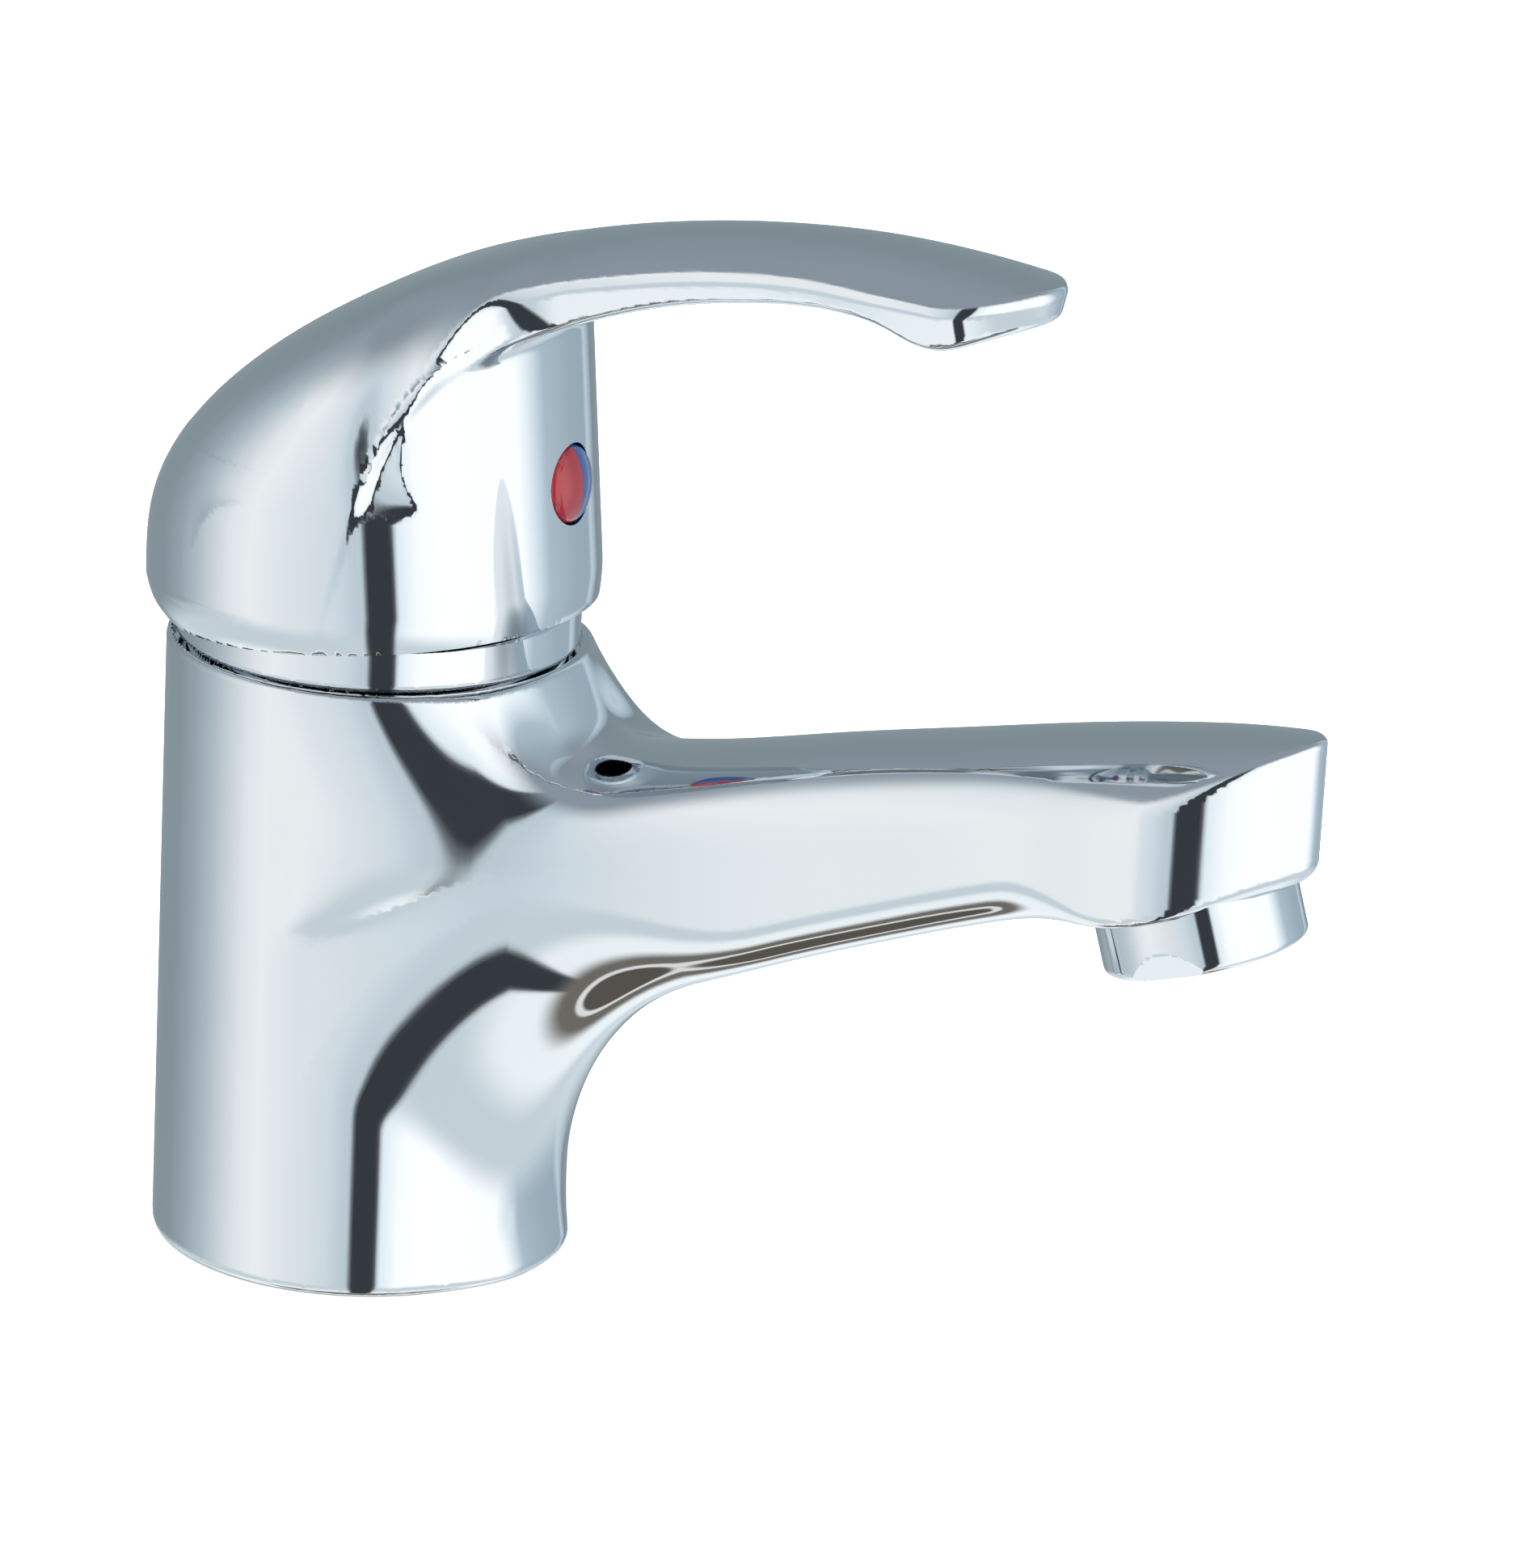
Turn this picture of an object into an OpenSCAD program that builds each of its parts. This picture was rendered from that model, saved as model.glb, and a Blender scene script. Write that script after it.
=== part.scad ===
// Single-lever basin mixer: cast body with a fixed spout, ceramic-disc cartridge, domed cap ring,
// lever handle with a red and blue index plug, and a screw-in aerator.
// Origin: middle of the base, on the deck plane. +Z up, the spout points along +X. Millimetres.

/* [Column] */
// Radius of the column
column_r = 25.3; // [25:0.1:25.6]
// Height of the column's rim above the deck
rim_z = 76; // [75.5:0.25:76.5]
// Rounding of the rim's outer edge
rim_round = 1.5; // [1:0.1:2]
// Bevel around the foot of the column
foot_bevel = 1; // [0.5:0.1:1.5]
// Forward lean of the neck between rim and spout, in degrees
neck_lean = 24; // [22:1:26]
// Depth of the hollow under the base
recess_depth = 26; // [25:0.5:26.5]
// Radius of the hollow under the base
recess_r = 18.5; // [17:0.5:19]

/* [Spout] */
// Distance from the column's axis to the middle of the rounded head
head_x = 108; // [107:0.5:109]
// Radius of the rounded head in plan
head_r = 14.3; // [14.2:0.1:15]
// Crown radius across the top of the spout
crown_r = 19; // [18:0.5:22]
// Height of the crown line above the middle of the head
head_top = 84.2; // [83.5:0.1:85]
// Lean of the outlet axis from vertical, in degrees
outlet_lean = 17; // [15:0.5:18]
// Radius of the bore where water enters the spout
channel_r_in = 9; // [8:0.5:9.5]
// Radius of the bore at the head
channel_r_out = 7.5; // [6.5:0.5:8]

/* [Aerator] */
// Outer radius of the aerator housing
aerator_r = 12; // [11.6:0.1:12]
// Length of the housing that shows below the head
aerator_drop = 7; // [6:0.5:8]
// Length of the housing's thread inside the head
aerator_thread = 6; // [5:0.5:7]
// Width across the wrench flats
wrench_flats = 22.6; // [22:0.1:23]

/* [Cartridge] */
// Radius of the cartridge housing
cartridge_r = 17.5; // [17.4:0.1:17.6]
// Height of the pocket floor that the cartridge stands on
pocket_z = 42; // [41.8:0.1:42.2]
// Height of the pin that the stem rocks on
pivot_z = 64; // [63.5:0.25:64.5]
// Radius of the pin
pin_r = 1.5; // [1.5:0.1:1.8]
// Running clearance of pin, rotor and discs
running_gap = 0.06; // [0.04:0.01:0.08]
// Forward lean of the stem when the tap is shut, in degrees
stem_lean = 12; // [11:0.5:13]
// Width of the stem's square
stem_square = 8; // [7:0.5:8]
// Length of the stem above the pin
stem_above = 39; // [38:0.5:40]
// Length of the stem below the pin, to the middle of its ball
stem_below = 7.57; // [7.5:0.01:7.6]

/* [Cap ring] */
// Outer radius of the cap ring
ring_r = 24.3; // [24:0.1:24.4]
// Height of the ring's outer wall
ring_wall_z = 81; // [80.6:0.1:81.1]
// Wall thickness of the ring
ring_wall = 1.8; // [1.5:0.1:2]

/* [Lever handle] */
// Backward lean of the skirt and boss at rest, in degrees
handle_lean = 5; // [4.5:0.25:5.5]
// Height of the skirt's lower edge on the axis
skirt_z = 80.3; // [80.2:0.1:80.6]
// Radius of the boss that carries the index plug
boss_r = 26.9; // [26.7:0.1:27.1]
// Radius of the skirt at the back
skirt_r = 27.9; // [27.7:0.1:28.1]
// Radius at the skirt's lower edge
skirt_edge_r = 25.2; // [25.1:0.1:25.5]
// Radius of the opening in the skirt
skirt_bore_r = 24.85; // [24.8:0.05:24.9]
// Height of the index plug above the skirt's lower edge
plug_w = 16.2; // [15.5:0.1:17]
// Radius of the index plug
plug_r = 4.8; // [4.5:0.1:5]

/* [Hidden] */

$fn = 72;
eps = 0.01;
far = 60;

// Colours of the finishes
chrome = "#D5DADD";
brass = "#B8975A";
steel = "#A9ADB0";
rubber = "#222324";
white_pom = "#E8E6DF";
grey_pom = "#8A8D90";
ceramic = "#F1EEE6";

// Spout: half width, crown height and underside height along X
spout_half_width = [[2, 24.6], [14, 22.8], [24, 19.6], [34, 15.8], [46, 13.2], [62, 11.9],
    [84, 11.6], [96, 12.4], [110, 13.6]];
spout_crown = [[2, 64], [30, 67.6], [46, 70.6], [76, 77.6], [head_x - 5, head_top - 0.9],
    [head_x + 12, head_top + 1.1]];
spout_under = [[2, 3], [24, 6], [26, 14.5], [28.5, 24], [32, 30.8], [37.5, 35.8], [46, 41.2],
    [62, 48.8], [88, 58.8], [96, 61], [110, 66]];
spout_corner = [[2, 2], [26, 2], [36, 2.3], [60, 3], [110, 3.4]];
root_stations = [2, 12, 20, 24.5, 26, 27.5, 29, 31, 33.5, 37, 41, 46];
spout_stations = concat(root_stations, [for (x = [53 : 7 : 109]) x]);

// Handle: half width, crown, side-edge and underside heights along X
arm_half_width = [[-10, 25.4], [0, 27.4], [10, 25.8], [14, 21.5], [20, 16], [28, 12], [40, 9.9],
    [52, 9.9], [66, 11.8], [77, 12]];
arm_crown = [[-28, 84], [-27, 90], [-25, 95], [-21.5, 100.5], [-16.5, 106.4], [-9, 113],
    [0, 118.9], [10, 123.7], [22, 128.2], [34, 131.3], [50, 133.9], [66, 134.9], [76, 134.4],
    [86, 131.7]];
arm_edge = [[12, 104], [14, 113], [20, 119], [28, 123.6], [40, 127.6], [52, 129.8], [64, 131],
    [76, 130.8], [86, 131]];
arm_under = [[12, 101], [14, 109.5], [18, 114.5], [24, 117.8], [34, 121.6], [48, 125.4],
    [60, 127], [68, 126.6], [73, 125.2], [80, 126.6], [86, 128.4]];
skirt_bevel = 2.6;
tip_x = 86.2;
tip_start = 76;

// Pose of the outlet: middle of the aerator's lower face
outlet_at = [109.2, 0, 57.4];
thread_top = aerator_drop + aerator_thread;

// Levels inside the cartridge
base_top = pocket_z + 6;
disc_t = 3.5;
split_z = base_top + disc_t;
carrier_z = split_z + disc_t;
ball_r = 1.6;
dimple_depth = 0.5;
carrier_t = 3.6;
rest_slide = -stem_below * sin(stem_lean);
flange_z = carrier_z + carrier_t + 0.4;
flange_t = 6.6;
housing_top = 74;
shoulder_z = 69;
rotor_r = 9.4;
rotor_top = 76;
nut_r = 19.8;
nut_top = 78.5;

// Port places on the cartridge's bolt circle
inlet_at = [[-6.2, -6.2], [-6.2, 6.2]];
outlet_port = [7.6, 0];
port_r = 3;

// Threads under the base, and the cored passage from cartridge to spout
hose_thread_r = 4.5;
stud_thread_r = 3.4;
stud_x = -11.5;
passage_z = 35.5;
riser_x = 29;

// ---- Helpers ------------------------------------------------------------------------------

// Slope of the curve through a list of points, at point i
function slope(p, i) =
    let (a = max(i - 1, 0), b = min(i + 1, len(p) - 1))
    (p[b][1] - p[a][1]) / (p[b][0] - p[a][0]);

// Index of the stretch of p that holds x
function stretch(p, x, i = 0) = (i >= len(p) - 2 || x < p[i + 1][0]) ? i : stretch(p, x, i + 1);

// Height at x of the smooth curve through the points p
function curve_at(p, x) =
    let (
        i = stretch(p, x),
        h = p[i + 1][0] - p[i][0],
        t = min(max((x - p[i][0]) / h, 0), 1),
        a = slope(p, i) * h,
        b = slope(p, i + 1) * h
    )
    (2 * t * t * t - 3 * t * t + 1) * p[i][1] + (t * t * t - 2 * t * t + t) * a
    + (3 * t * t - 2 * t * t * t) * p[i + 1][1] + (t * t * t - t * t) * b;

// Signed power, for rounded-square sections
function spow(v, e) = sign(v) * pow(abs(v), e);

// Solid through closed rings of equal length, capped at both ends
module loft(rings) {
    n = len(rings[0]);
    m = len(rings);
    points = [for (ring = rings) each ring];
    walls = [for (i = [0 : m - 2]) for (j = [0 : n - 1])
        let (k = (j + 1) % n, a = i * n + j, b = i * n + k, c = (i + 1) * n + k, d = (i + 1) * n + j)
        each [[a, c, b], [a, d, c]]];
    first = [for (j = [0 : n - 1]) j];
    last = [for (j = [n - 1 : -1 : 0]) (m - 1) * n + j];
    polyhedron(points = points, faces = concat(walls, [first, last]), convexity = 6);
}

// Ring with a rectangular section
module washer(r_in, r_out, z, h) {
    translate([0, 0, z])
        difference() {
            cylinder(r = r_out, h = h);
            translate([0, 0, -1]) cylinder(r = r_in, h = h + 2);
        }
}

// Rubber ring with a round section
module o_ring(r, section_r, z) {
    translate([0, 0, z]) rotate_extrude() translate([r, 0]) circle(r = section_r, $fn = 24);
}

// Moves its children to the outlet: +Z runs up the aerator's axis
module at_outlet() {
    translate(outlet_at) rotate([0, -outlet_lean, 0]) children();
}

// Moves its children to the handle: the skirt's lower edge is at height 0
module at_handle() {
    translate([0, 0, skirt_z]) rotate([0, -handle_lean, 0]) children();
}

// Moves its children to the pin: +Z runs up the stem
module at_stem() {
    translate([0, 0, pivot_z]) rotate([0, stem_lean, 0]) children();
}

// ---- Body ---------------------------------------------------------------------------------

// Closed section of the spout at x
function spout_ring(x, n = 28) =
    let (
        w = curve_at(spout_half_width, x),
        top = curve_at(spout_crown, x),
        under = curve_at(spout_under, x),
        side = top - 0.34 * (top - under),
        e = curve_at(spout_corner, x)
    )
    [for (i = [0 : n - 1])
        let (a = 360 * i / n)
        [x, w * spow(cos(a), 2 / (sin(a) > 0 ? 2.4 : e)),
            sin(a) > 0 ? side + (top - side) * spow(sin(a), 2 / 2.4)
                : side + (side - under) * spow(sin(a), 2 / e)]];

module column() {
    rotate_extrude() {
        polygon([[0, 0], [column_r - foot_bevel, 0], [column_r, foot_bevel],
            [column_r, rim_z - rim_round], [column_r - rim_round, rim_z - rim_round], [0, rim_z - rim_round]]);
        translate([0, rim_z - rim_round - eps]) square([column_r - rim_round, rim_round + eps]);
        translate([column_r - rim_round, rim_z - rim_round]) circle(r = rim_round);
    }
}

// Leaning cylinder from the rim down to the top of the spout
module neck() {
    neck_r = column_r * cos(neck_lean);
    intersection() {
        translate([0, 0, rim_z]) rotate([0, 180 - neck_lean, 0]) translate([0, 0, -20]) cylinder(r = neck_r, h = 48);
        translate([5, -far / 2, 45]) cube([far / 2, far, rim_z - rim_round / 2 - 45]);
    }
}

// Rounded head: upright wall, crowned top, and a lower face square to the outlet
module head() {
    intersection() {
        translate([head_x, 0, 40]) cylinder(r = head_r, h = 60);
        translate([head_x, 0, head_top - crown_r]) rotate([0, 83, 0]) translate([0, 0, -40]) cylinder(r = crown_r, h = 80);
        at_outlet() translate([-far / 2, -far / 2, aerator_drop]) cube([far, far, far]);
    }
}

module body_casting() {
    color(chrome)
        difference() {
            union() {
                column();
                neck();
                loft([for (x = spout_stations) spout_ring(x)]);
                head();
            }
            // Hollow under the base, and the groove for the base seal
            translate([0, 0, -1]) cylinder(r = recess_r, h = recess_depth + 1);
            washer(20, 23.2, -1, 3);
            // Cartridge pocket and the thread for its nut
            translate([0, 0, pocket_z]) cylinder(r = cartridge_r + 0.15, h = far);
            translate([0, 0, shoulder_z - 1]) cylinder(r = nut_r + 0.1, h = far);
            // Water ways from the hose threads to the pocket floor
            for (p = inlet_at) {
                translate([p[0], 1.13 * p[1], recess_depth - eps]) cylinder(r = hose_thread_r, h = 11);
                translate([p[0], p[1], recess_depth + 8]) cylinder(r = port_r - 0.3, h = 20);
            }
            // Blind thread for the fixing stud
            translate([stud_x, 0, recess_depth - eps]) cylinder(r = stud_thread_r, h = 9);
            // Mixed water: down from the pocket floor, forward below it, then up into the spout
            translate([outlet_port[0], 0, passage_z]) cylinder(r = port_r, h = 10);
            translate([outlet_port[0], 0, passage_z]) sphere(r = 3.8);
            translate([outlet_port[0], 0, passage_z]) rotate([0, 90, 0]) cylinder(r = 3.8, h = riser_x - outlet_port[0]);
            translate([riser_x, 0, passage_z]) sphere(r = 5);
            translate([riser_x, 0, passage_z]) cylinder(r = 5, h = 20);
            translate([riser_x - 1, 0, 54.5]) rotate([0, 76, 0]) cylinder(r1 = channel_r_in, r2 = channel_r_out, h = 82);
            // Thread for the aerator and the way down to it
            at_outlet() translate([0, 0, aerator_drop - 1]) cylinder(r = aerator_r - 0.2, h = aerator_thread + 2);
            at_outlet() cylinder(r = 9.5, h = thread_top + 4);
            // Holes for the cartridge's two locating pegs
            for (s = [-1, 1]) translate([0, s * 12.5, pocket_z - 2.2]) cylinder(r = 1.6, h = 4);
        }
}

module base_seal() {
    color(rubber) washer(20.1, 23.1, 0, 2);
}

// ---- Cartridge ----------------------------------------------------------------------------

module port_seals() {
    color(rubber)
        for (p = concat(inlet_at, [outlet_port]))
            translate([p[0], p[1], 0]) washer(port_r + 0.1, port_r + 1.4, pocket_z, 1.2);
}

module cartridge_base() {
    color(grey_pom)
        difference() {
            union() {
                translate([0, 0, pocket_z]) cylinder(r = 15.6, h = base_top - pocket_z);
                for (s = [-1, 1]) translate([0, s * 12.5, pocket_z - 2]) cylinder(r = 1.5, h = 3);
            }
            for (p = concat(inlet_at, [outlet_port])) {
                translate([p[0], p[1], pocket_z - 1]) cylinder(r = port_r, h = 10);
                translate([p[0], p[1], pocket_z - 1]) cylinder(r = port_r + 1.4, h = 2.2);
            }
            difference() {
                translate([0, 0, pocket_z + 2]) cylinder(r = 17, h = 1.8);
                translate([0, 0, pocket_z + 1]) cylinder(r = 14.2, h = 4);
            }
        }
}

module base_o_ring() {
    color(rubber) o_ring(14.95, 0.73, pocket_z + 2.9);
}

module fixed_disc() {
    color(ceramic)
        difference() {
            translate([0, 0, base_top]) cylinder(r = 14.8, h = disc_t);
            for (p = concat(inlet_at, [outlet_port]))
                translate([p[0], p[1], base_top - 1]) cylinder(r = port_r, h = disc_t + 2);
        }
}

// The moving disc bridges the ports with the hollow in its lower face
module moving_disc() {
    color(ceramic)
        translate([rest_slide, 0, split_z + running_gap])
            difference() {
                cylinder(r = 12, h = disc_t - running_gap);
                translate([2, 0, -1]) cylinder(r = 7.4, h = 2.6);
                // Dimple that clears the stem's ball
                translate([0, 0, disc_t - dimple_depth]) cylinder(r = 2.4, h = 2);
            }
}

module disc_carrier() {
    color(grey_pom)
        translate([rest_slide, 0, carrier_z])
            difference() {
                cylinder(r = 12, h = carrier_t);
                translate([0, 0, -1]) cylinder(r = ball_r + 0.35, h = 6);
            }
}

module cartridge_housing() {
    color(white_pom)
        difference() {
            union() {
                translate([0, 0, pocket_z + 0.2]) cylinder(r = cartridge_r, h = shoulder_z - pocket_z - 0.2);
                translate([0, 0, shoulder_z - 1]) cylinder(r = 12, h = housing_top - shoulder_z + 1);
            }
            translate([0, 0, pocket_z - 1]) cylinder(r = 15.7, h = shoulder_z - 3 - pocket_z + 1);
            translate([0, 0, pocket_z]) cylinder(r = rotor_r + running_gap, h = 40);
        }
}

// Rotor that turns in the housing and carries the pin
module stem_holder() {
    color(grey_pom)
        difference() {
            union() {
                translate([0, 0, flange_z]) cylinder(r = 14.6, h = flange_t);
                translate([0, 0, flange_z + 1]) cylinder(r = rotor_r, h = rotor_top - flange_z - 1);
            }
            // Slot in which the stem rocks
            translate([-7, -3.6, flange_z - 1]) cube([14, 7.2, 8]);
            hull() {
                translate([-4.8, -stem_square / 2 - 0.4, pivot_z + 0.9]) cube([9.6, stem_square + 0.8, 1]);
                translate([-7.9, -stem_square / 2 - 0.4, pivot_z + 15]) cube([15.8, stem_square + 0.8, 1]);
            }
            translate([0, 0, pivot_z]) rotate([90, 0, 0]) cylinder(r = pin_r, h = 40, center = true);
            difference() {
                translate([0, 0, 71]) cylinder(r = rotor_r + 1, h = 1.7);
                translate([0, 0, 70]) cylinder(r = rotor_r - 0.8, h = 4);
            }
        }
}

module stem_o_ring() {
    color(rubber) washer(rotor_r - 0.75, rotor_r - 0.02, 71.1, 1.5);
}

module stem_pin() {
    color(steel)
        translate([0, 0, pivot_z]) rotate([90, 0, 0]) cylinder(r = pin_r, h = 2 * rotor_r - 1, center = true);
}

// Square steel lever that rocks on the pin: its ball drives the carrier
module lever_stem() {
    color(steel)
        difference() {
            at_stem() {
                translate([-stem_square / 2, -stem_square / 2, 6]) cube([stem_square, stem_square, stem_above - 6]);
                translate([-3, -3.2, -4.4]) cube([6, 6.4, 12]);
                translate([0, 0, -stem_below]) cylinder(r = 1.2, h = 4);
                translate([0, 0, -stem_below]) sphere(r = ball_r, $fn = 48);
            }
            translate([0, 0, pivot_z]) rotate([90, 0, 0]) cylinder(r = pin_r + running_gap, h = 20, center = true);
        }
}

module retaining_nut() {
    color(brass)
        difference() {
            union() {
                translate([0, 0, shoulder_z]) cylinder(r = nut_r, h = rim_z - shoulder_z);
                translate([0, 0, rim_z - eps]) cylinder(r = 20.4, h = nut_top - rim_z, $fn = 6);
            }
            translate([0, 0, shoulder_z - 1]) cylinder(r = 12.2, h = 20);
            translate([0, 0, rim_z]) cylinder(r = 14.5, h = 20);
        }
}

module ring_gasket() {
    color(rubber) washer(20.6, 22.4, rim_z, 1);
}

// ---- Cap ring -----------------------------------------------------------------------------

// Domed ring over the nut: its shoulder is round about the pin, so the skirt swings past it
module cap_ring() {
    dome_r = norm([ring_r, ring_wall_z - pivot_z]);
    dome_edge = 22.4;
    dome_z = pivot_z + sqrt(dome_r * dome_r - dome_edge * dome_edge);
    color(chrome)
        rotate_extrude()
            difference() {
                union() {
                    polygon([[ring_r - 4, rim_z], [ring_r - 0.4, rim_z], [ring_r, rim_z + 0.4],
                        [ring_r, ring_wall_z], [dome_edge, dome_z], [15, 85.6], [15, 83.6], [ring_r - 4, 82]]);
                    intersection() {
                        translate([0, pivot_z]) circle(r = dome_r, $fn = 200);
                        polygon([[18, 78], [ring_r, 78], [ring_r, 90], [dome_edge, 90], [dome_edge, 80], [18, 80]]);
                    }
                }
                polygon([[0, rim_z - 1], [ring_r - ring_wall, rim_z - 1], [ring_r - ring_wall, 81.4],
                    [20.6, 83], [15, 83.8], [14.8, 90], [0, 90]]);
            }
}

// ---- Handle -------------------------------------------------------------------------------

// Half width in plan: round at the back and at the tip, waisted between
function arm_width(x) =
    x < -2 ? sqrt(max(skirt_r * skirt_r - x * x, 1))
    : x > tip_start ? 12 * sqrt(max(1 - pow((x - tip_start) / (tip_x - tip_start), 2), 0.02))
    : curve_at(arm_half_width, x);

// Closed section of the dome and arm at x: arch over the top, then the side and underside
function arm_ring(x, n = 20) =
    let (
        w = arm_width(x),
        top = curve_at(arm_crown, x),
        low = skirt_z + x * tan(handle_lean) + 2,
        edge = x < 12 ? low : curve_at(arm_edge, x),
        under = x < 12 ? low - 0.5 : curve_at(arm_under, x),
        inset = x < 12 ? 0.5 : 1.6,
        e = x < 12 ? 2 : 2.1
    )
    concat(
        [for (i = [0 : n]) let (a = 180 * i / n)
            [x, w * spow(cos(a), 2 / e), edge + (top - edge) * spow(sin(a), 2 / e)]],
        [[x, -w + min(inset, w / 3), under], [x, w - min(inset, w / 3), under]]
    );

module arm_and_dome() {
    loft([for (x = [-27.8, -27.2, -26, -24, -21, -17, -12, -6, 0, 6, 11, 14, 17, 21, 26, 32, 39, 47,
        55, 63, 69, 73, 77, 80, 82.5, 84.5, 85.6, tip_x]) arm_ring(x)]);
}

// Round front of the handle, between the skirt and the underside of the arm
module boss() {
    intersection() {
        at_handle() translate([0, 0, skirt_bevel]) cylinder(r = boss_r, h = 40);
        translate([0, far / 2, 0]) rotate([90, 0, 0]) linear_extrude(far)
            polygon([[8, 60], [30, 60], [30, 120], [22, 119], [16, 115], [12, 109], [8, 106]]);
    }
}

module skirt() {
    at_handle() cylinder(r1 = skirt_edge_r, r2 = boss_r, h = skirt_bevel);
}

module lever_handle() {
    color(chrome)
        difference() {
            union() {
                difference() {
                    union() {
                        arm_and_dome();
                        boss();
                        skirt();
                    }
                    // Hollow of the skirt and dome
                    at_handle()
                        rotate_extrude()
                            polygon([[0, -6], [skirt_bore_r, -6], [skirt_bore_r, 2.5], [22.2, 13], [17, 20],
                                [10, 27.5], [4, 31], [0, 31.5]]);
                }
                // Socket for the stem, and the boss for its screw
                at_stem() translate([0, 0, 27]) cylinder(r = 7.6, h = 21);
                at_handle() translate([5, 0, plug_w]) rotate([0, 90, 0]) cylinder(r = 5.6, h = 19);
            }
            at_stem()
                translate([-stem_square / 2 - 0.1, -stem_square / 2 - 0.1, 20])
                    cube([stem_square + 0.2, stem_square + 0.2, stem_above - 19.8]);
            at_handle() translate([5, 0, plug_w]) rotate([0, 90, 0]) cylinder(r = 2.5, h = 30);
            at_handle() translate([boss_r - 2.7, 0, plug_w]) rotate([0, 90, 0]) cylinder(r = plug_r + 0.1, h = 10);
        }
}

module set_screw() {
    color(steel)
        at_handle() translate([13.3, 0, plug_w]) rotate([0, 90, 0])
            difference() {
                cylinder(r = 2.5, h = 9.5);
                translate([0, 0, 6.5]) cylinder(r = 1.45, h = 4, $fn = 6);
            }
}

// Half of the domed plug: side is -1 for the half at -Y and 1 for the half at +Y
module plug_half(side) {
    dome_r = 13;
    plug_h = 3.5;
    at_handle() translate([boss_r - 2.6, 0, plug_w]) rotate([0, 90, 0])
        intersection() {
            rotate_extrude()
                intersection() {
                    square([plug_r, plug_h]);
                    translate([0, plug_h - dome_r]) circle(r = dome_r, $fn = 120);
                }
            translate([-10, side < 0 ? -10 : 0.01, -1]) cube([20, 10 - 0.01, 10]);
        }
}

module index_plug_red() {
    color("#C8202C") plug_half(-1);
}

module index_plug_blue() {
    color("#1F4E96") plug_half(1);
}

// ---- Aerator ------------------------------------------------------------------------------

module aerator_housing() {
    color(chrome)
        at_outlet()
            difference() {
                union() {
                    cylinder(r1 = aerator_r - 0.5, r2 = aerator_r, h = 0.5);
                    translate([0, 0, 0.5]) cylinder(r = aerator_r, h = aerator_drop - 0.5);
                    translate([0, 0, aerator_drop - eps]) cylinder(r = aerator_r - 0.2, h = aerator_thread);
                }
                translate([0, 0, -1]) cylinder(r = 10.2, h = thread_top + 2);
                // Two flats for a wrench, at the lower edge
                for (s = [-1, 1])
                    translate([-10, s > 0 ? wrench_flats / 2 : -wrench_flats / 2 - 5, -1]) cube([20, 5, 3.4]);
            }
}

module aerator_washer() {
    color(rubber) at_outlet() washer(8.4, 11.6, thread_top, 1);
}

module aerator_basket() {
    color(grey_pom)
        at_outlet()
            difference() {
                translate([0, 0, 3.4]) cylinder(r = 10.1, h = thread_top - 3.6);
                translate([0, 0, 2]) cylinder(r = 8.9, h = thread_top);
            }
}

module aerator_flow_plate() {
    color(white_pom)
        at_outlet()
            difference() {
                translate([0, 0, 9.5]) cylinder(r = 8.8, h = 1.5);
                for (r = [3, 6]) for (i = [0 : 3 * r - 1])
                    rotate([0, 0, i * 360 / (3 * r)]) translate([r, 0, 9]) cylinder(r = 0.6, h = 3, $fn = 16);
            }
}

// Two screens of crossed wires in a rim
module aerator_screens() {
    color(steel)
        at_outlet()
            for (z = [6, 7.4]) {
                washer(7.9, 8.8, z, 0.6);
                translate([0, 0, z + 0.1])
                    for (a = [0, 90]) rotate([0, 0, a]) for (y = [-6 : 2 : 6])
                        translate([-sqrt(66 - y * y), y - 0.25, 0]) cube([2 * sqrt(66 - y * y), 0.5, 0.4]);
            }
}

// Grid of thin ribs that straightens the stream
module aerator_outlet_grid() {
    color(grey_pom)
        at_outlet() {
            washer(8.6, 10.1, 0.9, 2.4);
            translate([0, 0, 0.9])
                for (a = [0, 90]) rotate([0, 0, a]) for (y = [-7.5 : 2.5 : 7.5])
                    translate([-sqrt(77 - y * y), y - 0.25, 0]) cube([2 * sqrt(77 - y * y), 0.5, 2]);
        }
}

body_casting();
base_seal();
port_seals();
cartridge_base();
base_o_ring();
fixed_disc();
moving_disc();
disc_carrier();
cartridge_housing();
stem_holder();
stem_o_ring();
stem_pin();
lever_stem();
retaining_nut();
ring_gasket();
cap_ring();
lever_handle();
set_screw();
index_plug_red();
index_plug_blue();
aerator_housing();
aerator_washer();
aerator_basket();
aerator_flow_plate();
aerator_screens();
aerator_outlet_grid();
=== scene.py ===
"""Looks of a single-lever basin mixer: polished chrome castings, red and blue index plug, aerator.

The cast shapes are solids of signed distance, in millimetres, turned into meshes by dual contouring.
Every normal is worked out from the slope of the distance. The seam where the handle's arch meets its
boss is jagged, which is a known fault.
"""

import math

import bpy
import numpy as np
from mathutils import Matrix, Vector


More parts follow.
